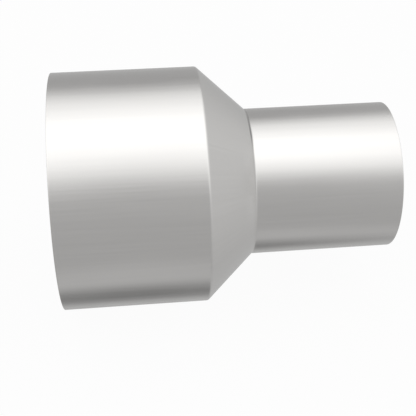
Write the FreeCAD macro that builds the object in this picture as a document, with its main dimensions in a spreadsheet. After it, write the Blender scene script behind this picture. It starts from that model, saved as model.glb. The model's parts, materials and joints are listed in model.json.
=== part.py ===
import FreeCAD, Part
import math
import os

import Sketcher
from FreeCAD import Vector

# Concentric pipe reducer, rolled and welded from stainless sheet.
# Three rolled shells: a large collar, a cone and a small collar. Each shell is closed by a
# lengthwise butt weld, and two girth welds join the shells end to end. Every weld is ground
# flush on the outside. Inside, the collars' seams are planished flush too, so that a pipe
# slides in, and the roots of the cone's seam and of the girth welds stand proud.
# Frame: +X runs along the axis from the large end's face to the small end's face, +Z is up,
# and the origin is the centre of the large end's face.

# Driving dimensions, in millimetres and degrees. A seam's angle turns it about the axis from
# straight up: 0 is at the top, -90 is at the side that faces +Y.
SIZES = {
    "large_outer_diameter": 127.0,
    "small_inner_diameter": 76.2,
    "wall_thickness": 1.52,
    "large_collar_length": 76.2,
    "cone_length": 25.4,
    "small_collar_length": 76.2,
    "end_face_round": 0.15,
    "girth_weld_reach": 1.6,
    "large_crease_round": 2.2,
    "small_crease_round": 1.0,
    "girth_root_angle": 38.0,
    "seam_weld_width": 3.0,
    "seam_root_width": 2.2,
    "seam_root_height": 0.35,
    "large_collar_seam_angle": -62.0,
    "cone_seam_angle": -98.0,
    "small_collar_seam_angle": -134.0,
}

# Expressions that several pieces share. Each crease is where two shells' outer faces meet.
LARGE_RADIUS = "(Sizes.large_outer_diameter / 2)"
SMALL_RADIUS = "(Sizes.small_inner_diameter / 2 + Sizes.wall_thickness)"
LARGE_CREASE_X = "Sizes.large_collar_length"
SMALL_CREASE_X = "(Sizes.large_collar_length + Sizes.cone_length)"
TOTAL_LENGTH = "(Sizes.large_collar_length + Sizes.cone_length + Sizes.small_collar_length)"
SLOPE = f"atan(({LARGE_RADIUS} - {SMALL_RADIUS}) / Sizes.cone_length)"
HALF_SLOPE = f"({SLOPE} / 2)"
BEAD_RADIUS = "((Sizes.seam_root_width ^ 2 / 4 + Sizes.seam_root_height ^ 2) / (2 * Sizes.seam_root_height))"

TOOL_OVERRUN = 1.0

doc = FreeCAD.newDocument("ConcentricReducer")


def make_sheet():
    sheet = doc.addObject("Spreadsheet::Sheet", "Sizes")
    for row, (alias, value) in enumerate(SIZES.items(), start=1):
        sheet.set(f"A{row}", alias.replace("_", " "))
        sheet.set(f"B{row}", str(value))
        sheet.setAlias(f"B{row}", alias)
    doc.recompute()
    return sheet


sizes = make_sheet()

# The same places as numbers: a sketch is drawn with them, then its constraints hold it.
wall = sizes.wall_thickness
reach = sizes.girth_weld_reach
large_radius = sizes.large_outer_diameter / 2
small_radius = sizes.small_inner_diameter / 2 + wall
slope = math.atan2(large_radius - small_radius, sizes.cone_length)
large_crease = Vector(sizes.large_collar_length, large_radius, 0)
small_crease = Vector(sizes.large_collar_length + sizes.cone_length, small_radius, 0)
down_slope = Vector(math.cos(slope), -math.sin(slope), 0)
into_cone = Vector(-math.sin(slope), -math.cos(slope), 0)


def placement(x="0", z="0", axis="1; 0; 0", angle="0"):
    """Text of a placement at (x, 0, z), turned by an angle about an axis."""
    return (
        f"create(<<placement>>; create(<<vector>>; {x}; 0; {z}); "
        f"create(<<rotation>>; create(<<vector>>; {axis}); {angle}))"
    )


class Section:
    """A body's half section: the sketch's x is the reducer's axis and its y is the radius."""

    def __init__(self, body):
        self.body = body
        self.sketch = body.newObject("Sketcher::SketchObject", body.Name + "_section")
        plane = next(item for item in body.Origin.OriginFeatures if item.Role == "XY_Plane")
        self.sketch.AttachmentSupport = [(plane, "")]
        self.sketch.MapMode = "FlatFace"

    def line(self, start, end, construction=False):
        return self.sketch.addGeometry(Part.LineSegment(start, end), construction)

    def arc(self, start, middle, end):
        return self.sketch.addGeometry(Part.Arc(start, middle, end), False)

    def quad(self, corners):
        """Four lines round four corners, each joined to the next one."""
        sides = [self.line(corners[index], corners[(index + 1) % 4]) for index in range(4)]
        for side, corner in zip(sides, corners[1:] + corners[:1]):
            self.join("Coincident", side, sides[(sides.index(side) + 1) % 4], corner)
        return sides

    def tie(self, kind, *where):
        self.sketch.addConstraint(Sketcher.Constraint(kind, *where))

    def join(self, kind, first, second, place):
        """Ties two pieces of the outline together at the ends that lie at one place."""
        self.tie(kind, first, self.end_at(first, place), second, self.end_at(second, place))

    def end_at(self, geometry, place):
        ends = (1, 2)
        return min(ends, key=lambda end: self.sketch.getPoint(geometry, end).distanceToPoint(place))

    def size(self, expression, kind, *where):
        """A dimension that follows an expression. The last of where is its present value."""
        index = self.sketch.addConstraint(Sketcher.Constraint(kind, *where))
        self.sketch.setExpression(f"Constraints[{index}]", expression)

    def pin(self, geometry, place, x_expression, radius_expression):
        """Holds the end of a line that lies at a place."""
        end = self.end_at(geometry, place)
        self.size(x_expression, "DistanceX", -1, 1, geometry, end, place.x)
        self.size(radius_expression, "DistanceY", -1, 1, geometry, end, place.y)

    def cone_line(self):
        """The cone's outer face from crease to crease, as a guide line."""
        cone = self.line(large_crease, small_crease, construction=True)
        self.pin(cone, large_crease, LARGE_CREASE_X, LARGE_RADIUS)
        self.pin(cone, small_crease, SMALL_CREASE_X, SMALL_RADIUS)
        return cone

    def turn(self):
        """Turns the section all the way round the reducer's axis."""
        ring = self.body.newObject("PartDesign::Revolution", self.body.Name + "_ring")
        ring.Profile = self.sketch
        ring.ReferenceAxis = (self.sketch, ["H_Axis"])
        ring.Angle = 360
        doc.recompute()
        return ring


def collar_blank(name, length_alias, radius, radius_expression):
    """A rolled collar before its seam, drawn from its open face at x 0 to its girth weld."""
    body = doc.addObject("PartDesign::Body", name)
    section = Section(body)
    weld_x = getattr(sizes, length_alias) - reach
    corners = [
        Vector(0, radius, 0),
        Vector(weld_x, radius, 0),
        Vector(weld_x, radius - wall, 0),
        Vector(0, radius - wall, 0),
    ]
    outside, weld_edge, inside, open_edge = section.quad(corners)
    section.pin(outside, corners[1], f"Sizes.{length_alias} - Sizes.girth_weld_reach", radius_expression)
    section.tie("Horizontal", outside)
    section.tie("Horizontal", inside)
    section.tie("Vertical", weld_edge)
    section.tie("Vertical", open_edge)
    section.tie("PointOnObject", open_edge, 1, -2)
    section.size("Sizes.wall_thickness", "Distance", weld_edge, wall)
    ring = section.turn()

    rims = [
        f"Edge{number}"
        for number, edge in enumerate(ring.Shape.Edges, start=1)
        if edge.BoundBox.XMax < reach / 2
    ]
    rounded = body.newObject("PartDesign::Fillet", name + "_rim_round")
    rounded.Base = (ring, rims)
    rounded.setExpression("Radius", "min(Sizes.end_face_round; Sizes.wall_thickness * 0.4)")
    return body


def cone_blank():
    """The rolled cone before its seam, from girth weld to girth weld, cut square to its slope."""
    body = doc.addObject("PartDesign::Body", "cone_blank")
    section = Section(body)
    cone = section.cone_line()
    top = large_crease + down_slope * reach
    bottom = small_crease - down_slope * reach
    corners = [top, bottom, bottom + into_cone * wall, top + into_cone * wall]
    outside, small_edge, inside, large_edge = section.quad(corners)
    for place, crease in ((top, large_crease), (bottom, small_crease)):
        end = section.end_at(outside, place)
        section.tie("PointOnObject", outside, end, cone)
        section.size(
            "Sizes.girth_weld_reach", "Distance", cone, section.end_at(cone, crease), outside, end, reach
        )
    section.tie("Perpendicular", cone, small_edge)
    section.tie("Perpendicular", cone, large_edge)
    section.tie("Parallel", cone, inside)
    section.size("Sizes.wall_thickness", "Distance", small_edge, wall)
    section.turn()
    return body


def girth_weld(name, crease, crease_x, crease_radius, side, round_alias):
    """The ring of weld metal at a crease. Its collar lies on the -X side (-1) or the +X side (1).

    Outside, it is dressed to an arc tangent to both shells. Inside, its root is one arc that
    leaves each shell's inner face at the root angle.
    """
    body = doc.addObject("PartDesign::Body", name)
    section = Section(body)
    cone = section.cone_line()

    collar_outer = crease + Vector(side * reach, 0, 0)
    collar_inner = collar_outer - Vector(0, wall, 0)
    cone_outer = crease - down_slope * (side * reach)
    cone_inner = cone_outer + into_cone * wall

    crease_round = getattr(sizes, round_alias)
    tangent = crease_round * math.tan(slope / 2)
    collar_tangent = crease + Vector(side * tangent, 0, 0)
    cone_tangent = crease - down_slope * (side * tangent)
    round_centre = collar_tangent + Vector(0, side * crease_round, 0)
    round_middle = round_centre + (crease - round_centre).normalize() * crease_round

    half_chord = (cone_inner - collar_inner).Length / 2
    root_turn = math.radians(sizes.girth_root_angle) + side * slope / 2
    root_rise = half_chord * math.tan(root_turn / 2)
    inward = Vector(-math.sin(slope / 2), -math.cos(slope / 2), 0)
    root_crest = (cone_inner + collar_inner) * 0.5 + inward * root_rise

    collar_face = section.line(collar_outer, collar_tangent)
    dressed_round = section.arc(collar_tangent, round_middle, cone_tangent)
    cone_face = section.line(cone_tangent, cone_outer)
    cone_edge = section.line(cone_outer, cone_inner)
    root = section.arc(cone_inner, root_crest, collar_inner)
    collar_edge = section.line(collar_inner, collar_outer)

    section.join("Tangent", collar_face, dressed_round, collar_tangent)
    section.join("Tangent", dressed_round, cone_face, cone_tangent)
    section.join("Coincident", cone_face, cone_edge, cone_outer)
    section.join("Coincident", cone_edge, root, cone_inner)
    section.join("Coincident", root, collar_edge, collar_inner)
    section.join("Coincident", collar_edge, collar_face, collar_outer)

    section.pin(collar_face, collar_outer, f"{crease_x} + {side} * Sizes.girth_weld_reach", crease_radius)
    section.tie("Horizontal", collar_face)
    section.tie("Vertical", collar_edge)
    section.tie("Perpendicular", cone, cone_edge)
    section.tie("PointOnObject", cone_face, 2, cone)
    section.tie("PointOnObject", cone_face, 1, cone)
    section.size(
        "Sizes.girth_weld_reach", "Distance", cone, section.end_at(cone, crease), cone_face, 2, reach
    )
    section.size("Sizes.wall_thickness", "Distance", cone_edge, wall)
    section.size("Sizes.wall_thickness", "Distance", collar_edge, wall)
    section.size(f"Sizes.{round_alias}", "Radius", dressed_round, crease_round)
    section.size(
        f"(Sizes.girth_weld_reach * cos({HALF_SLOPE}) + {side} * Sizes.wall_thickness * sin({HALF_SLOPE}))"
        f" / sin(Sizes.girth_root_angle * 1 deg + {side} * {HALF_SLOPE})",
        "Radius",
        root,
        half_chord / math.sin(root_turn),
    )
    section.turn()
    return body


def boolean(kind, name, base, tool):
    result = doc.addObject(kind, name)
    result.Base = base
    result.Tool = tool
    return result


def seam_slot(name, angle_alias):
    """The strip of space that a seam weld fills: as wide as the weld, from the axis outward."""
    slot = doc.addObject("Part::Box", name)
    slot.setExpression("Length", f"{TOTAL_LENGTH} + {2 * TOOL_OVERRUN}")
    slot.setExpression("Width", "Sizes.seam_weld_width")
    slot.setExpression("Height", f"{LARGE_RADIUS} + {TOOL_OVERRUN}")
    turned = placement(angle=f"Sizes.{angle_alias}")
    centred = (
        f"create(<<placement>>; create(<<vector>>; -{TOOL_OVERRUN}; -Sizes.seam_weld_width / 2; 0); "
        "create(<<rotation>>; create(<<vector>>; 1; 0; 0); 0))"
    )
    slot.setExpression("Placement", f"{turned} * {centred}")
    return slot


def cone_seam_root():
    """The part of the cone's seam that stands proud inside: a low round bead down the slope."""
    core = doc.addObject("Part::Cone", "cone_core")
    core.setExpression("Radius1", f"{LARGE_RADIUS} - Sizes.wall_thickness")
    core.setExpression("Radius2", f"{SMALL_RADIUS} - Sizes.wall_thickness")
    core.setExpression("Height", "Sizes.cone_length")
    core_x = f"{LARGE_CREASE_X} - Sizes.wall_thickness * tan({HALF_SLOPE})"
    core.setExpression("Placement", placement(x=core_x, axis="0; 1; 0", angle="90"))

    bead = doc.addObject("Part::Cylinder", "cone_seam_bead")
    bead.setExpression("Radius", BEAD_RADIUS)
    bead.setExpression("Height", f"Sizes.cone_length / cos({SLOPE}) - 2 * Sizes.girth_weld_reach")
    depth = f"(Sizes.wall_thickness - {BEAD_RADIUS} + Sizes.seam_root_height)"
    bead_x = f"{LARGE_CREASE_X} + Sizes.girth_weld_reach * cos({SLOPE}) - {depth} * sin({SLOPE})"
    bead_z = f"{LARGE_RADIUS} - Sizes.girth_weld_reach * sin({SLOPE}) - {depth} * cos({SLOPE})"
    turned = placement(angle="Sizes.cone_seam_angle")
    sloped = placement(x=bead_x, z=bead_z, axis="0; 1; 0", angle=f"90 deg + {SLOPE}")
    bead.setExpression("Placement", f"{turned} * {sloped}")
    return boolean("Part::Common", "cone_seam_root", bead, core)


def make_pieces():
    large_blank = collar_blank("large_collar_blank", "large_collar_length", large_radius, LARGE_RADIUS)
    small_blank = collar_blank("small_collar_blank", "small_collar_length", small_radius, SMALL_RADIUS)
    small_blank.setExpression("Placement", placement(x=TOTAL_LENGTH, axis="0; 0; 1", angle="180"))
    cone = cone_blank()

    large_slot = seam_slot("large_collar_seam_slot", "large_collar_seam_angle")
    cone_slot = seam_slot("cone_seam_slot", "cone_seam_angle")
    small_slot = seam_slot("small_collar_seam_slot", "small_collar_seam_angle")
    cone_strip = boolean("Part::Common", "cone_seam_strip", cone, cone_slot)

    return [
        boolean("Part::Cut", "large_collar", large_blank, large_slot),
        boolean("Part::Cut", "cone_shell", cone, cone_slot),
        boolean("Part::Cut", "small_collar", small_blank, small_slot),
        boolean("Part::Common", "large_collar_seam_weld", large_blank, large_slot),
        boolean("Part::Fuse", "cone_seam_weld", cone_strip, cone_seam_root()),
        boolean("Part::Common", "small_collar_seam_weld", small_blank, small_slot),
        girth_weld("large_girth_weld", large_crease, LARGE_CREASE_X, LARGE_RADIUS, -1, "large_crease_round"),
        girth_weld("small_girth_weld", small_crease, SMALL_CREASE_X, SMALL_RADIUS, 1, "small_crease_round"),
    ]


def check_document():
    for item in doc.Objects:
        if "Invalid" in item.State or "Error" in item.State:
            raise RuntimeError(f"{item.Label} did not recompute: {item.State}")
        if item.TypeId == "Sketcher::SketchObject" and item.solve() != 0:
            raise RuntimeError(f"{item.Label} does not solve")


def check_piece(piece):
    shape = piece.Shape
    if shape.isNull() or not shape.isValid():
        raise RuntimeError(f"{piece.Label} has no valid shape")
    if len(shape.Solids) != 1 or shape.Volume <= 0:
        raise RuntimeError(f"{piece.Label} is not one solid")


def export(piece):
    path = os.path.join("parts", piece.Label + ".step")
    piece.Shape.Solids[0].exportStep(path)
    print(f"{piece.Label:24s} {piece.Shape.Volume:10.1f} mm3")


pieces = make_pieces()
doc.recompute()
check_document()
for piece in pieces:
    check_piece(piece)
os.makedirs("parts", exist_ok=True)
for piece in pieces:
    export(piece)
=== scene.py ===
import json
import math

import bmesh
import bpy
from mathutils import Matrix, Vector, noise


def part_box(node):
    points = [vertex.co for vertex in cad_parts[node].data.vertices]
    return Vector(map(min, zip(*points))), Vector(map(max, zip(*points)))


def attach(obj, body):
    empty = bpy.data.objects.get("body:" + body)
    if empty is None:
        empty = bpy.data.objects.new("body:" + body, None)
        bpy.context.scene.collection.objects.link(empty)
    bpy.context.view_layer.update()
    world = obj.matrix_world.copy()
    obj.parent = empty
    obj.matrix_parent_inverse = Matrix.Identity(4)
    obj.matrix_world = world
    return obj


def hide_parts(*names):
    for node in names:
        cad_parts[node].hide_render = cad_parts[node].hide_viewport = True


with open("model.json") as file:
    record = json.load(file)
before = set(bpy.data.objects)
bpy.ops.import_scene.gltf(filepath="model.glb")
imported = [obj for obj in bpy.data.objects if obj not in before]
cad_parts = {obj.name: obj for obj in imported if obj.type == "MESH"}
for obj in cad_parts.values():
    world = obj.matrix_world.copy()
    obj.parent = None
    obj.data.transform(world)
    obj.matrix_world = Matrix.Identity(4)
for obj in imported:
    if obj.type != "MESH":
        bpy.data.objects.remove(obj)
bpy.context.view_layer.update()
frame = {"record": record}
mm = 0.001
mounts = {mount["name"]: mount for mount in frame["record"]["mounts"]}
print("frame: CAD nodes loaded")


def mountRadius(name):
    return mounts[name]["dims"]["r_mm"] * mm


# where things are, read from the frame; an outline's points are (x along the axis, radius)
weldReach = 1.6 * mm  # from a crease to the edge of its girth weld, along either shell
wall = mountRadius("large_end_spigot") - mountRadius("large_end_bore")
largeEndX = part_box("large_collar")[0].x
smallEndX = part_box("small_collar")[1].x
largeCrease = Vector((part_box("large_collar")[1].x + weldReach, mountRadius("large_end_spigot")))
smallCrease = Vector((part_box("small_collar")[0].x - weldReach, mountRadius("small_end_sleeve")))
coneRun = smallCrease - largeCrease
slope = math.atan2(-coneRun.y, coneRun.x)
downSlope = coneRun.normalized()
intoCone = Vector((downSlope.y, -downSlope.x))
intoCollar = Vector((0, -1))


def seamAngle(node):
    low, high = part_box(node)
    middle = (low + high) / 2
    return math.atan2(-middle.y, middle.z)


def radialAt(angle):
    return Vector((0, -math.sin(angle), math.cos(angle)))


def newMaterial(name, **settings):
    material = bpy.data.materials.new(name)
    material.use_nodes = True
    shader = material.node_tree.nodes["Principled BSDF"]
    for socket, value in settings.items():
        shader.inputs[socket].default_value = value
    return material, material.node_tree, shader


def feed(tree, socket, value):
    # a socket takes a colour, a plain number or another node's output
    if isinstance(value, tuple):
        socket.default_value = (*value, 1.0)
    elif isinstance(value, (int, float)):
        socket.default_value = value
    else:
        tree.links.new(value, socket)


def calc(tree, operation, first, second=0.0):
    node = tree.nodes.new("ShaderNodeMath")
    node.operation = operation
    feed(tree, node.inputs[0], first)
    feed(tree, node.inputs[1], second)
    return node.outputs[0]


def span(tree, value, low, high, toLow=0.0, toHigh=1.0, smooth=False):
    node = tree.nodes.new("ShaderNodeMapRange")
    node.interpolation_type = "SMOOTHSTEP" if smooth else "LINEAR"
    tree.links.new(value, node.inputs["Value"])
    for name, amount in (("From Min", low), ("From Max", high), ("To Min", toLow), ("To Max", toHigh)):
        node.inputs[name].default_value = amount
    return node.outputs["Result"]


def noiseAt(tree, vector, scale, detail=2.0):
    node = tree.nodes.new("ShaderNodeTexNoise")
    node.inputs["Scale"].default_value = scale
    node.inputs["Detail"].default_value = detail
    tree.links.new(vector, node.inputs["Vector"])
    return node.outputs["Fac"]


def combine(tree, x, y, z):
    node = tree.nodes.new("ShaderNodeCombineXYZ")
    for socket, value in zip(node.inputs, (x, y, z)):
        feed(tree, socket, value)
    return node.outputs[0]


def vectorCalc(tree, operation, vector, output):
    node = tree.nodes.new("ShaderNodeVectorMath")
    node.operation = operation
    tree.links.new(vector, node.inputs[0])
    return node.outputs[output]


def mixColour(tree, amount, first, second, blend="MIX"):
    node = tree.nodes.new("ShaderNodeMix")
    node.data_type = "RGBA"
    node.blend_type = blend
    feed(tree, node.inputs["Factor"], amount)
    feed(tree, node.inputs["A"], first)
    feed(tree, node.inputs["B"], second)
    return node.outputs["Result"]


def paint(tree, shader, colour, shade):
    grey = combine(tree, shade, shade, shade)
    tree.links.new(mixColour(tree, 1.0, colour, grey, "MULTIPLY"), shader.inputs["Base Color"])


def bumpFrom(tree, shader, height, depth):
    node = tree.nodes.new("ShaderNodeBump")
    node.inputs["Strength"].default_value = 1.0
    node.inputs["Distance"].default_value = depth
    tree.links.new(height, node.inputs["Height"])
    tree.links.new(node.outputs[0], shader.inputs["Normal"])


def fillRamp(tree, value, stops):
    ramp = tree.nodes.new("ShaderNodeValToRGB")
    tree.links.new(value, ramp.inputs[0])
    elements = ramp.color_ramp.elements
    while len(elements) < len(stops):
        elements.new(0.5)
    for element, (position, colour) in zip(elements, stops):
        element.position = position
        element.color = (*colour, 1.0)
    return ramp.outputs["Color"]


noiseRange = (0.3, 0.7)  # where most of a noise texture's values lie
creaseStep = 0.3  # half the stretch, in millimetres, over which the lines thin out at the small crease


def readPlace(tree):
    # millimetres along the axis, distance from it, and the unit direction away from it
    coords = tree.nodes.new("ShaderNodeTexCoord")
    split = tree.nodes.new("ShaderNodeSeparateXYZ")
    tree.links.new(coords.outputs["Object"], split.inputs[0])
    along = calc(tree, "DIVIDE", split.outputs["X"], mm)
    outwards = combine(tree, 0.0, split.outputs["Y"], split.outputs["Z"])
    away = vectorCalc(tree, "NORMALIZE", outwards, "Vector")
    radius = calc(tree, "DIVIDE", vectorCalc(tree, "LENGTH", outwards, "Value"), mm)
    side = tree.nodes.new("ShaderNodeSeparateXYZ")
    tree.links.new(away, side.inputs[0])
    corner = smallCrease.x / mm
    fewer = smallCrease.y / largeCrease.y  # keeps the lines as wide on the small collar as elsewhere
    return {
        "object": coords.outputs["Object"],
        "along": along,
        "radius": radius,
        "away": away,
        "awayY": side.outputs["Y"],
        "awayZ": side.outputs["Z"],
        "lineCount": span(tree, along, corner - creaseStep, corner + creaseStep, 1.0, fewer),
    }


def lengthwiseLines(tree, place, perTurn, length, detail=2.0):
    # streaks that run along the axis on the collars and down the slope on the cone
    count = calc(tree, "MULTIPLY", place["lineCount"], perTurn)
    vector = combine(
        tree,
        calc(tree, "DIVIDE", place["along"], length),
        calc(tree, "MULTIPLY", place["awayY"], count),
        calc(tree, "MULTIPLY", place["awayZ"], count),
    )
    return noiseAt(tree, vector, 1.0, detail)


def brushTangent(tree, shader, place):
    # the finish was drawn along the axis, so highlights stretch round the shell
    cross = tree.nodes.new("ShaderNodeVectorMath")
    cross.operation = "CROSS_PRODUCT"
    cross.inputs[0].default_value = (1.0, 0.0, 0.0)
    tree.links.new(place["away"], cross.inputs[1])
    tree.links.new(cross.outputs[0], shader.inputs["Tangent"])


# lengths in millimetres; a pair for Y or Z is where a patch fades, by the direction away from the axis
satinFinish = {
    "colour": (0.62, 0.612, 0.6),
    "colourSwing": 0.02,
    "lineRange": (0.5, 1.1),
    "roughness": 0.18,
    "lineRoughness": 0.03,
    "handledSize": 28.0,
    "handledRange": (0.35, 0.7),
    "handledRoughness": (-0.015, 0.02),
    "anisotropy": 0.7,
    "fineLines": 95.0,
    "fineLength": 55.0,
    "fineDetail": 3.0,
    "broadLines": 26.0,
    "broadLength": 110.0,
    "broadShare": 0.6,
    "lineDepth": 0.000008,
    "creaseShadeDepth": 0.57,  # painted shade: a dark line along the small crease, behind and above
    "cornerShift": 0.15,
    "cornerHalf": 0.95,
    "cornerCore": 0.1,
    "cornerY": (-0.62, -0.32),
    "cornerWeakY": (-0.3, 0.1),
    "cornerWeak": 0.5,
    "footHighlightGain": 0.09,  # painted highlight: the foot of the cone in front is lightened
    "footRise": (8.0, 0.6),
    "footFall": (1.2, 0.2),
    "footY": (-0.85, -0.45),
    "footZ": (-0.2, 0.5),
}


# painted shade: darkens the satin colour in a thin line along the small crease, behind and above
def paintedCreaseShade(tree, place):
    spec = satinFinish
    middle = smallCrease.x / mm - spec["cornerShift"]
    fromCorner = calc(tree, "ABSOLUTE", calc(tree, "SUBTRACT", place["along"], middle))
    behind = span(tree, place["awayY"], *spec["cornerY"], smooth=True)
    weaker = span(tree, place["awayY"], *spec["cornerWeakY"], 1.0, spec["cornerWeak"])
    line = span(tree, fromCorner, spec["cornerHalf"], spec["cornerCore"], smooth=True)
    line = calc(tree, "MULTIPLY", line, calc(tree, "MULTIPLY", behind, weaker))
    return calc(tree, "MULTIPLY", line, spec["creaseShadeDepth"])


# painted highlight: lightens the satin colour at the foot of the cone, in front
def paintedFootHighlight(tree, place):
    spec = satinFinish
    corner = smallCrease.x / mm
    rise = [corner - reach for reach in spec["footRise"]]
    fall = [corner - reach for reach in spec["footFall"]]
    foot = calc(
        tree, "MULTIPLY",
        span(tree, place["along"], *rise, smooth=True),
        span(tree, place["along"], *fall, 1.0, 0.0, smooth=True),
    )
    front = calc(
        tree, "MULTIPLY",
        span(tree, place["awayY"], *spec["footY"], 1.0, 0.0, smooth=True),
        span(tree, place["awayZ"], *spec["footZ"], smooth=True),
    )
    return calc(tree, "MULTIPLY", calc(tree, "MULTIPLY", foot, front), spec["footHighlightGain"])


def makeSatinSheet():
    spec = satinFinish
    material, tree, shader = newMaterial("satinSheet", Metallic=1.0, Anisotropic=spec["anisotropy"])
    place = readPlace(tree)
    fine = lengthwiseLines(tree, place, spec["fineLines"], spec["fineLength"], spec["fineDetail"])
    broad = lengthwiseLines(tree, place, spec["broadLines"], spec["broadLength"])
    handled = noiseAt(tree, place["object"], spec["handledSize"], 3.0)
    lines = calc(tree, "ADD", fine, calc(tree, "MULTIPLY", broad, spec["broadShare"]))
    dark = tuple((1 - spec["colourSwing"]) * part for part in spec["colour"])
    light = tuple((1 + spec["colourSwing"]) * part for part in spec["colour"])
    colour = mixColour(tree, span(tree, lines, *spec["lineRange"]), dark, light)
    # painted highlight on the cone's foot and painted shade along the small crease, multiplied into the
    # colour
    gain = calc(tree, "ADD", paintedFootHighlight(tree, place), 1.0)
    paint(tree, shader, colour, calc(tree, "SUBTRACT", gain, paintedCreaseShade(tree, place)))

    rough = calc(
        tree, "ADD",
        span(tree, fine, *noiseRange, -spec["lineRoughness"], spec["lineRoughness"]),
        span(tree, handled, *spec["handledRange"], *spec["handledRoughness"]),
    )
    tree.links.new(calc(tree, "ADD", rough, spec["roughness"]), shader.inputs["Roughness"])
    bumpFrom(tree, shader, lines, spec["lineDepth"])
    brushTangent(tree, shader, place)
    return material


millFinish = {
    "roughness": (0.34, 0.43),
    "shade": (0.93, 1.04),
    "anisotropy": 0.3,
    "lines": 90.0,
    "lineLength": 40.0,
    "grain": 0.000003,
    "cloudSize": 60.0,
    "ragged": 5.0,  # how far the cloud pushes the heat tint about
    "tintReach": 8.0,  # how far from a weld's toe the colour fades out
    "tint": [
        (0.0, (0.53, 0.52, 0.505)),
        (0.12, (0.48, 0.48, 0.535)),
        (0.24, (0.55, 0.495, 0.48)),
        (0.42, (0.63, 0.58, 0.485)),
        (0.7, (0.655, 0.64, 0.6)),
        (1.0, (0.666, 0.661, 0.654)),
    ],
}


def weldDistance(tree, place):
    # millimetres from the nearer girth weld, along either shell
    gaps = [
        calc(tree, "ABSOLUTE", calc(tree, "SUBTRACT", place["along"], crease.x / mm))
        for crease in (largeCrease, smallCrease)
    ]
    return calc(tree, "SUBTRACT", calc(tree, "MINIMUM", *gaps), weldReach / mm)


def makeMillInside():
    spec = millFinish
    material, tree, shader = newMaterial("millInside", Metallic=1.0, Anisotropic=spec["anisotropy"])
    place = readPlace(tree)
    lines = lengthwiseLines(tree, place, spec["lines"], spec["lineLength"])
    cloud = noiseAt(tree, place["object"], spec["cloudSize"], 3.0)
    ragged = calc(tree, "MULTIPLY", calc(tree, "SUBTRACT", cloud, 0.5), spec["ragged"])
    distance = calc(tree, "ADD", weldDistance(tree, place), ragged)
    tint = fillRamp(tree, span(tree, distance, 0.0, spec["tintReach"]), spec["tint"])
    paint(tree, shader, tint, span(tree, lines, *noiseRange, *spec["shade"]))
    tree.links.new(span(tree, cloud, *noiseRange, *spec["roughness"]), shader.inputs["Roughness"])
    bumpFrom(tree, shader, lines, spec["grain"])
    brushTangent(tree, shader, place)
    return material


cutFinish = {
    "colour": (0.68, 0.675, 0.665),
    "shade": (0.9, 1.05),
    "roughness": (0.24, 0.32),
    "rings": 9.0,
    "depth": 0.000004,
}


def makeCutEdge():
    spec = cutFinish
    material, tree, shader = newMaterial("cutEdge", Metallic=1.0)
    place = readPlace(tree)
    rings = noiseAt(tree, combine(tree, place["awayY"], place["awayZ"], place["radius"]), spec["rings"])
    paint(tree, shader, spec["colour"], span(tree, rings, *noiseRange, *spec["shade"]))
    tree.links.new(span(tree, rings, *noiseRange, *spec["roughness"]), shader.inputs["Roughness"])
    bumpFrom(tree, shader, rings, spec["depth"])
    return material


dressedFinish = {
    "colour": (0.605, 0.595, 0.58),
    "shade": (0.94, 1.04),
    "roughness": (0.27, 0.34),
    "anisotropy": 0.4,
    "grindMarks": 2.2,  # per millimetre along the weld
    "grindShare": 0.5,
    "markRange": (0.5, 1.0),
    "depth": 0.000004,
}


def makeDressedWeld():
    # ground flush across the weld, then drawn lengthwise with the sheet beside it
    spec, sheet = dressedFinish, satinFinish
    material, tree, shader = newMaterial("dressedWeld", Metallic=1.0, Anisotropic=spec["anisotropy"])
    place = readPlace(tree)
    fine = lengthwiseLines(tree, place, sheet["fineLines"], sheet["fineLength"], sheet["fineDetail"])
    along = calc(tree, "MULTIPLY", place["along"], spec["grindMarks"])
    across = noiseAt(tree, combine(tree, along, place["awayY"], place["awayZ"]), 1.0, 3.0)
    marks = calc(tree, "ADD", fine, calc(tree, "MULTIPLY", across, spec["grindShare"]))
    paint(tree, shader, spec["colour"], span(tree, marks, *spec["markRange"], *spec["shade"]))
    rough = span(tree, marks, *spec["markRange"], *spec["roughness"])
    tree.links.new(rough, shader.inputs["Roughness"])
    bumpFrom(tree, shader, marks, spec["depth"])
    brushTangent(tree, shader, place)
    return material


beadFinish = {
    "silver": (0.52, 0.505, 0.48),
    "straw": (0.5, 0.4, 0.24),
    "blue": (0.3, 0.34, 0.44),
    "patchSize": 220.0,
    "strawFrom": (0.42, 0.62),
    "blueFrom": (0.3, 0.42),
    "blueShare": 0.6,
    "scaleSize": 1800.0,
    "roughness": (0.28, 0.46),
    "depth": 0.00001,
}


def makeRootBead():
    spec = beadFinish
    material, tree, shader = newMaterial("rootBead", Metallic=1.0)
    place = readPlace(tree)
    patches = noiseAt(tree, place["object"], spec["patchSize"])
    scale = noiseAt(tree, place["object"], spec["scaleSize"], 3.0)
    warm = mixColour(tree, span(tree, patches, *spec["strawFrom"]), spec["silver"], spec["straw"])
    blue = span(tree, patches, *spec["blueFrom"], spec["blueShare"], 0.0)
    tree.links.new(mixColour(tree, blue, warm, spec["blue"]), shader.inputs["Base Color"])
    tree.links.new(span(tree, scale, *noiseRange, *spec["roughness"]), shader.inputs["Roughness"])
    bumpFrom(tree, shader, scale, spec["depth"])
    return material


satinSheet = makeSatinSheet()
millInside = makeMillInside()
cutEdge = makeCutEdge()
dressedWeld = makeDressedWeld()
rootBead = makeRootBead()
print("finishes: satin sheet, mill inside, cut edge, dressed weld, root bead")


def offAxis(point):
    return Vector((0, point.y, point.z))


def rows(start, end, count):
    return [start.lerp(end, step / count) for step in range(count + 1)]


def arcPoints(centre, start, end, count):
    first, last = start - centre, end - centre
    turn = math.atan2(first.x * last.y - first.y * last.x, first.dot(last))
    return [centre + Matrix.Rotation(turn * step / count, 2) @ first for step in range(count + 1)]


turnSectors = 16  # a full turn is one sector, spun, and its copies
mergeDistance = 0.001 * mm


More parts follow.
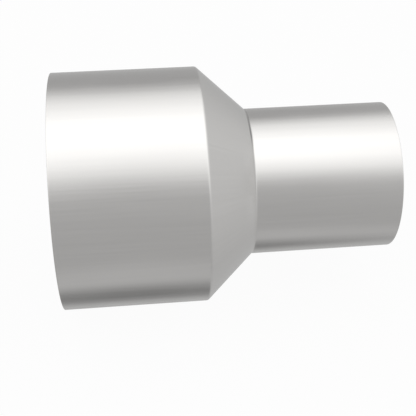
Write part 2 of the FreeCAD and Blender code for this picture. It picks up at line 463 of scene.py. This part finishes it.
def turnOutline(outline, steps, middle=0.0, sweep=math.tau):
    # a closed outline in the half plane, turned about the X axis
    whole = sweep == math.tau
    sectors = turnSectors if whole else 1
    bm = bmesh.new()
    start = radialAt(middle - sweep / 2)
    verts = [bm.verts.new(Vector((point.x, 0, 0)) + start * point.y) for point in outline]
    edges = [bm.edges.new((verts[i - 1], verts[i])) for i in range(len(verts))]
    aboutX = {"cent": (0, 0, 0), "axis": (1, 0, 0), "dvec": (0, 0, 0)}
    bmesh.ops.spin(
        bm, geom=verts + edges, angle=sweep / sectors, steps=steps // sectors, **aboutX
    )
    if whole:
        bmesh.ops.spin(
            bm, geom=bm.verts[:] + bm.edges[:] + bm.faces[:], use_duplicate=True,
            angle=sweep * (sectors - 1) / sectors, steps=sectors - 1, **aboutX,
        )
    bmesh.ops.remove_doubles(bm, verts=bm.verts, dist=mergeDistance)
    bmesh.ops.recalc_face_normals(bm, faces=bm.faces)
    return bm


rimRound = {"size": 0.15 * mm, "segments": 4, "flatness": 0.01 * mm, "sameRadius": 0.1 * mm}


def roundRim(bm, rimX):
    # breaks both edges of the open end
    def onRim(edge):
        flat = all(abs(vert.co.x - rimX) < rimRound["flatness"] for vert in edge.verts)
        radii = [offAxis(vert.co).length for vert in edge.verts]
        return flat and abs(radii[0] - radii[1]) < rimRound["sameRadius"]

    bmesh.ops.bevel(
        bm, geom=[edge for edge in bm.edges if onRim(edge)], offset=rimRound["size"],
        segments=rimRound["segments"], profile=0.5, affect="EDGES", material=-1,
    )


seamWidth = 3.0 * mm
planeSnap = 0.0001 * mm


def cutAtSeam(bm, angle, keepStrip):
    # two planes either side of the seam part the shell from the strip that closes it
    radial = radialAt(angle)
    across = radialAt(angle + math.pi / 2)

    def beside(item):
        return radial.dot(item.calc_center_median()) > 0

    for side in (-1, 1):
        near = [face for face in bm.faces if beside(face)]
        geom = near + list(dict.fromkeys(edge for face in near for edge in face.edges))
        geom += list(dict.fromkeys(vert for face in near for vert in face.verts))
        plane = across * side
        bmesh.ops.bisect_plane(
            bm, geom=geom, dist=planeSnap, plane_co=plane * seamWidth / 2, plane_no=plane
        )
    strip = {
        face for face in bm.faces
        if beside(face) and abs(across.dot(face.calc_center_median())) < seamWidth / 2 - mergeDistance
    }
    unwanted = [face for face in bm.faces if (face in strip) != keepStrip]
    bmesh.ops.delete(bm, geom=unwanted, context="FACES")
    openEdges = [edge for edge in bm.edges if edge.is_boundary]
    bmesh.ops.holes_fill(bm, edges=openEdges, sides=0)
    bmesh.ops.recalc_face_normals(bm, faces=bm.faces)


sideFacing = 0.35  # how far a face leans out or in before it counts as outside or inside
sharpAngle = math.radians(40)


def paintFaces(bm, outside, inside, edge):
    for face in bm.faces:
        facing = face.normal.dot(offAxis(face.calc_center_median()).normalized())
        if facing > sideFacing:
            face.material_index = outside
        else:
            face.material_index = inside if facing < -sideFacing else edge


def addPiece(bm, name, node, materials):
    for face in bm.faces:
        face.smooth = True
    mesh = bpy.data.meshes.new(name)
    bm.to_mesh(mesh)
    bm.free()
    for material in materials:
        mesh.materials.append(material)
    mesh.set_sharp_from_angle(angle=sharpAngle)
    piece = bpy.data.objects.new(name, mesh)
    bpy.context.scene.collection.objects.link(piece)
    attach(piece, "root")
    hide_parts(node)
    print(f"piece: {name}, {len(mesh.polygons)} faces")
    return piece


shellSteps = 320


def collarOutline(collar, openX, crease, side):
    # side is -1 for the collar on the -X side of its crease
    weldX = crease.x + side * weldReach
    nearX = openX - side * collar["nearRim"]
    outer = [Vector((openX, crease.y))]
    outer += rows(Vector((nearX, crease.y)), Vector((weldX, crease.y)), collar["rows"])
    return outer + [point + intoCollar * wall for point in reversed(outer)]


def coneOutline(cone):
    start, end = largeCrease + downSlope * weldReach, smallCrease - downSlope * weldReach
    outer = rows(start, end, cone["rows"])
    return outer + [point + intoCone * wall for point in reversed(outer)]


def makeShell(name, shell, outline, rimX=None):
    bm = turnOutline(outline, shellSteps)
    if rimX is not None:
        roundRim(bm, rimX)
    cutAtSeam(bm, seamAngle(shell["seam"]), keepStrip=False)
    paintFaces(bm, outside=0, inside=1, edge=2)
    return addPiece(bm, name, shell["node"], [satinSheet, millInside, cutEdge])


largeCollar = {
    "node": "large_collar",
    "seam": "large_collar_seam_weld",
    "rows": 14,
    "nearRim": 0.8 * mm,
}
makeShell(
    "largeCollar", largeCollar, collarOutline(largeCollar, largeEndX, largeCrease, -1), largeEndX
)

coneShell = {"node": "cone_shell", "seam": "cone_seam_weld", "rows": 10}
makeShell("coneShell", coneShell, coneOutline(coneShell))

smallCollar = {
    "node": "small_collar",
    "seam": "small_collar_seam_weld",
    "rows": 14,
    "nearRim": 0.8 * mm,
}
makeShell(
    "smallCollar", smallCollar, collarOutline(smallCollar, smallEndX, smallCrease, 1), smallEndX
)
print("shells: two collars and a cone")

rippleShape = {"sharpness": 1.3, "low": 0.45, "shift": Vector((7.3, 0, 0))}


def beadHeight(run, across, place, bead):
    # run is the distance along the bead, across goes from -1 to 1 over its width
    crown = max(0.0, 1 - across * across)
    wander = bead["wander"] * noise.noise(place / bead["wanderSize"])
    phase = (run / bead["pitch"] + bead["bow"] * across * across + wander) % 1.0
    uneven = bead["uneven"] * noise.noise(place / bead["unevenSize"] + rippleShape["shift"])
    ripple = bead["ripple"] * (phase ** rippleShape["sharpness"] - rippleShape["low"])
    return math.sqrt(crown) * (ripple + uneven)


girthBead = {
    "steps": 6,  # mesh steps in one ripple
    "group": 8,  # ripples come in eights, so that the sectors meet
    "pitch": 1.35 * mm,
    "ripple": 0.14 * mm,
    "bow": 0.75,
    "wander": 0.5,
    "wanderSize": 6 * mm,
    "uneven": 0.1 * mm,
    "unevenSize": 5 * mm,
    "toe": 0.6 * mm,  # how far the root runs out over each shell
    "toeDepth": 0.08 * mm,
    "leastHeight": 0.26 * mm,
    "rootAngle": math.radians(38),
    "rootPoints": 12,
    "roundPoints": 8,
    "restartHeight": 0.16 * mm,
    "restartSize": 4 * mm,
    "craterAt": 1.6,  # the crater beside the restart, in restart sizes
    "craterSize": 0.4,
    "toeMargin": 0.999,
}


def girthOuter(crease, side, creaseRound):
    tangent = creaseRound * math.tan(slope / 2)
    collarTangent = crease + Vector((side * tangent, 0))
    coneTangent = crease - downSlope * side * tangent
    roundCentre = collarTangent + Vector((0, side * creaseRound))
    curve = arcPoints(roundCentre, collarTangent, coneTangent, girthBead["roundPoints"])
    return [crease + Vector((side * weldReach, 0))] + curve + [crease - downSlope * side * weldReach]


def girthRoot(collarOuter, coneOuter, side):
    # the root arc's centre, its two ends and its radius
    bead = girthBead
    inward = Vector((-math.sin(slope / 2), -math.cos(slope / 2)))
    collarInner = collarOuter + intoCollar * wall
    coneInner = coneOuter + intoCone * wall
    halfChord = (coneInner - collarInner).length / 2
    rise = halfChord * math.tan((bead["rootAngle"] + side * slope / 2) / 2)
    crest = (coneInner + collarInner) / 2 + inward * rise
    toeCollar = collarInner + Vector((side * bead["toe"], bead["toeDepth"]))
    toeCone = coneInner - downSlope * side * bead["toe"] - intoCone * bead["toeDepth"]
    toeMiddle = (toeCollar + toeCone) / 2
    halfWidth = (toeCone - toeCollar).length / 2
    height = max((crest - toeMiddle).dot(inward), bead["leastHeight"])
    radius = (halfWidth ** 2 + height ** 2) / (2 * height)
    return toeMiddle + inward * (height - radius), toeCone, toeCollar, radius


def makeGirthWeld(name, weld, crease, side):
    bead = girthBead
    outer = girthOuter(crease, side, weld["creaseRound"])
    centre, toeCone, toeCollar, radius = girthRoot(outer[0], outer[-1], side)
    root = arcPoints(centre, toeCone, toeCollar, bead["rootPoints"])
    collarInner = outer[0] + intoCollar * (wall - bead["toeDepth"])
    coneInner = outer[-1] + intoCone * (wall - bead["toeDepth"])
    circle = math.tau * (crease.y - wall)
    ripples = bead["group"] * round(circle / bead["pitch"] / bead["group"])
    bm = turnOutline(outer + [coneInner] + root + [collarInner], ripples * bead["steps"])

    halfTurn = (toeCone - centre).angle(toeCollar - centre) / 2
    rootWay = (toeCone + toeCollar) / 2 - centre
    girth = {**bead, "pitch": math.tau / ripples}
    for vert in bm.verts:
        away = offAxis(vert.co)
        fromCentre = Vector((vert.co.x, away.length)) - centre
        if abs(fromCentre.length - radius) > mergeDistance or fromCentre.y > radius:
            continue
        across = -rootWay.angle_signed(fromCentre) / halfTurn
        if abs(across) > bead["toeMargin"]:
            continue
        angle = math.atan2(-away.y, away.z)
        lift = beadHeight(angle, across, vert.co.copy(), girth)
        turned = (angle - weld["restart"] + math.pi) % math.tau - math.pi
        gap = turned * crease.y / bead["restartSize"]
        overlap = math.exp(-(gap ** 2))
        crater = math.exp(-(((gap - bead["craterAt"]) / bead["craterSize"]) ** 2))
        lift += bead["restartHeight"] * (overlap - crater) * (1 - across * across)
        push = fromCentre.normalized() * lift
        vert.co += Vector((push.x, 0, 0)) + away.normalized() * push.y
    bm.normal_update()
    paintFaces(bm, outside=0, inside=1, edge=0)
    return addPiece(bm, name, weld["node"], [satinSheet, rootBead])


largeGirthWeld = {"node": "large_girth_weld", "creaseRound": 2.2 * mm, "restart": math.radians(-150)}
makeGirthWeld("largeGirthWeld", largeGirthWeld, largeCrease, -1)

smallGirthWeld = {"node": "small_girth_weld", "creaseRound": 1.0 * mm, "restart": math.radians(-30)}
makeGirthWeld("smallGirthWeld", smallGirthWeld, smallCrease, 1)
print("welds: two girth welds")

seamBead = {
    "columns": 16,
    "rowLength": 0.4 * mm,
    "sweep": 1.3,  # how much wider than the seam the strip is turned, before it is cut
    "rootHalfWidth": 1.25 * mm,
    "rootHeight": 0.35 * mm,
    "taper": 0.8 * mm,
    "endMargin": 0.3,  # of the taper
    "sideMargin": 0.02 * mm,
    "flushWave": 0.012 * mm,
    "flushWaveSize": 1.5 * mm,
    "pitch": 1.2 * mm,
    "ripple": 0.11 * mm,
    "bow": 0.7,
    "wander": 0.5,
    "wanderSize": 5 * mm,
    "uneven": 0.06 * mm,
    "unevenSize": 4 * mm,
}
nearInner = wall * 0.9
nearOuter = wall * 0.05


def makeSeamWeld(name, seam, start, end, inward, rimX=None):
    # start and end are the outer ends of the strip, inward points through the sheet
    bead = seamBead
    angle = seamAngle(seam["node"])
    length = (end - start).length
    outer = rows(start, end, max(2, round(length / bead["rowLength"])))
    outline = outer + [point + inward * wall for point in reversed(outer)]
    bm = turnOutline(outline, bead["columns"], angle, bead["sweep"] * seamWidth / min(start.y, end.y))
    if rimX is not None:
        roundRim(bm, rimX)
    cutAtSeam(bm, angle, keepStrip=True)

    axis = (end - start).normalized()
    across = radialAt(angle + math.pi / 2)
    for vert in bm.verts:
        away = offAxis(vert.co)
        here = Vector((vert.co.x, away.length)) - start
        run, depth = here.dot(axis), here.dot(inward)
        sideways = across.dot(vert.co)
        toEnd = min(run, length - run) / bead["taper"]
        if toEnd < bead["endMargin"] or abs(sideways) > seamWidth / 2 - bead["sideMargin"]:
            continue
        if nearOuter < depth < nearInner:
            continue
        lift = bead["flushWave"] * noise.noise(vert.co / bead["flushWaveSize"])
        if depth > nearInner and seam["proudRoot"] and abs(sideways) < bead["rootHalfWidth"]:
            t = sideways / bead["rootHalfWidth"]
            lift = bead["rootHeight"] * (1 - t * t) + beadHeight(run, t, vert.co.copy(), bead)
            lift *= min(1.0, toEnd)
        push = inward * lift if depth > wall / 2 else inward * -lift
        vert.co += Vector((push.x, 0, 0)) + away.normalized() * push.y
    bm.normal_update()
    paintFaces(bm, outside=0, inside=1, edge=2)
    inside = rootBead if seam["proudRoot"] else dressedWeld
    return addPiece(bm, name, seam["node"], [dressedWeld, inside, cutEdge])


largeCollarSeam = {"node": "large_collar_seam_weld", "proudRoot": False}
makeSeamWeld(
    "largeCollarSeam", largeCollarSeam, Vector((largeEndX, largeCrease.y)),
    largeCrease - Vector((weldReach, 0)), intoCollar, largeEndX,
)

coneSeam = {"node": "cone_seam_weld", "proudRoot": True}
makeSeamWeld(
    "coneSeam", coneSeam, largeCrease + downSlope * weldReach,
    smallCrease - downSlope * weldReach, intoCone,
)

smallCollarSeam = {"node": "small_collar_seam_weld", "proudRoot": False}
makeSeamWeld(
    "smallCollarSeam", smallCollarSeam, smallCrease + Vector((weldReach, 0)),
    Vector((smallEndX, smallCrease.y)), intoCollar, smallEndX,
)
print("welds: three lengthwise seams")

studioFloor = {"size": 9.0, "glow": 0.985, "matt": 0.82, "shadowShare": 0.03}


def makeFloor():
    bm = bmesh.new()
    bmesh.ops.create_grid(bm, x_segments=4, y_segments=4, size=studioFloor["size"] / 2)
    bmesh.ops.translate(bm, verts=bm.verts, vec=(smallEndX / 2, 0, -largeCrease.y))
    mesh = bpy.data.meshes.new("studioFloor")
    bm.to_mesh(mesh)
    bm.free()
    material = bpy.data.materials.new("paleFloor")
    material.use_nodes = True
    tree = material.node_tree
    tree.nodes.remove(tree.nodes["Principled BSDF"])
    glow = tree.nodes.new("ShaderNodeEmission")
    feed(tree, glow.inputs["Color"], (1.0, 1.0, 1.0))
    feed(tree, glow.inputs["Strength"], studioFloor["glow"])
    matt = tree.nodes.new("ShaderNodeBsdfDiffuse")
    feed(tree, matt.inputs["Color"], (studioFloor["matt"],) * 3)
    blend = tree.nodes.new("ShaderNodeMixShader")
    blend.inputs[0].default_value = studioFloor["shadowShare"]
    tree.links.new(glow.outputs[0], blend.inputs[1])
    tree.links.new(matt.outputs[0], blend.inputs[2])
    tree.links.new(blend.outputs[0], tree.nodes["Material Output"].inputs["Surface"])
    mesh.materials.append(material)
    floor = bpy.data.objects.new("studioFloor", mesh)
    bpy.context.scene.collection.objects.link(floor)
    floor.visible_glossy = False  # the metal reflects the soft room alone
    floor.visible_diffuse = False
    floor.visible_shadow = False


softRoom = {
    "paper": 0.985,  # what the camera sees behind everything
    # glow seen at angles round the axis, in degrees from the front horizon up and over the top
    "ring": [
        (0, 0.56), (12, 0.585), (22, 0.605), (30, 0.66), (38, 0.83), (46, 1.1),
        (54, 1.36), (62, 1.55), (72, 1.7), (84, 1.75), (98, 1.72), (106, 1.56),
        (114, 1.43), (122, 1.3), (130, 1.08), (138, 0.735), (146, 0.52), (154, 0.49),
        (166, 0.5), (180, 0.52), (190, 0.57), (200, 0.575), (240, 0.57), (270, 0.57),
        (295, 0.645), (312, 0.62), (325, 0.545), (345, 0.55), (360, 0.56),
    ],
    "rampTop": 2.0,  # a ramp holds colours up to 1, so the ring is stored as a share of this
    "ceilingSpread": 0.35,  # how much wider the bright part of the ring grows towards the ends
    "ceilingSkew": math.radians(8.0),  # how far it leans to the front at the ends
    "sideGlow": 0.775,
    "sideLift": 0.21,
    "sideFrom": (0.12, 1.05),
    "underShade": 0.295,
    "underFrom": (math.radians(5.0), math.radians(25.0)),  # from straight below
}


def ringGlow(tree, split, side):
    room = softRoom
    around = calc(tree, "ARCTAN2", split.outputs["Y"], split.outputs["Z"])  # 0 at the top
    spread = calc(tree, "SUBTRACT", 1.0, calc(tree, "MULTIPLY", side, room["ceilingSpread"]))
    skew = calc(tree, "MULTIPLY", side, room["ceilingSkew"])
    seen = calc(tree, "ADD", calc(tree, "MULTIPLY", around, spread), skew)
    turn = calc(tree, "FRACT", calc(tree, "ADD", calc(tree, "DIVIDE", seen, math.tau), 0.25))
    stops = [(degrees / 360, (glow / room["rampTop"],) * 3) for degrees, glow in room["ring"]]
    return calc(tree, "MULTIPLY", fillRamp(tree, turn, stops), room["rampTop"])


def makeRoom():
    # soft light from above, a grey room round about and a darker patch straight below
    room = softRoom
    world = bpy.data.worlds.new("softRoom")
    bpy.context.scene.world = world
    world.use_nodes = True
    tree = world.node_tree
    coords = tree.nodes.new("ShaderNodeTexCoord")
    split = tree.nodes.new("ShaderNodeSeparateXYZ")
    tree.links.new(coords.outputs["Generated"], split.inputs[0])
    side = calc(tree, "ABSOLUTE", split.outputs["X"])
    lifted = calc(tree, "MULTIPLY", split.outputs["Z"], room["sideLift"])
    ends = calc(tree, "ADD", lifted, room["sideGlow"])
    share = span(tree, side, *room["sideFrom"], smooth=True)
    glow = calc(
        tree, "ADD",
        calc(tree, "MULTIPLY", ends, share),
        calc(tree, "MULTIPLY", ringGlow(tree, split, side), calc(tree, "SUBTRACT", 1.0, share)),
    )
    below = calc(tree, "ARCCOSINE", calc(tree, "MULTIPLY", split.outputs["Z"], -1.0))
    shade = span(tree, below, *room["underFrom"], room["underShade"], 0.0, smooth=True)
    background = tree.nodes["Background"]
    feed(tree, background.inputs["Color"], (1.0, 1.0, 1.0))
    tree.links.new(calc(tree, "SUBTRACT", glow, shade), background.inputs["Strength"])
    paper = tree.nodes.new("ShaderNodeBackground")
    feed(tree, paper.inputs["Color"], (1.0, 1.0, 1.0))
    feed(tree, paper.inputs["Strength"], room["paper"])
    rays = tree.nodes.new("ShaderNodeLightPath")
    blend = tree.nodes.new("ShaderNodeMixShader")
    tree.links.new(rays.outputs["Is Camera Ray"], blend.inputs[0])
    tree.links.new(background.outputs[0], blend.inputs[1])
    tree.links.new(paper.outputs[0], blend.inputs[2])
    tree.links.new(blend.outputs[0], tree.nodes["World Output"].inputs["Surface"])


studioCamera = {
    "aim": Vector((80.64 * mm, 0.0, -16.4 * mm)),
    "turn": math.radians(5.94),
    "down": math.radians(34.62),
    "distance": 482.0 * mm,
    "lens": 74.7,
    "sensor": 36.0,
    "clip": (0.01, 50.0),
}


def makeCamera():
    turn, down = studioCamera["turn"], studioCamera["down"]
    ahead = Vector((math.sin(turn) * math.cos(down), math.cos(turn) * math.cos(down), -math.sin(down)))
    data = bpy.data.cameras.new("studioCamera")
    data.lens = studioCamera["lens"]
    data.sensor_width = studioCamera["sensor"]
    data.clip_start, data.clip_end = studioCamera["clip"]
    eye = bpy.data.objects.new("studioCamera", data)
    bpy.context.scene.collection.objects.link(eye)
    eye.location = studioCamera["aim"] - ahead * studioCamera["distance"]
    eye.rotation_euler = ahead.to_track_quat("-Z", "Y").to_euler()
    bpy.context.scene.camera = eye


makeFloor()
makeRoom()
makeCamera()
bpy.context.scene.view_settings.view_transform = "Standard"
print("studio: floor, room light and camera")
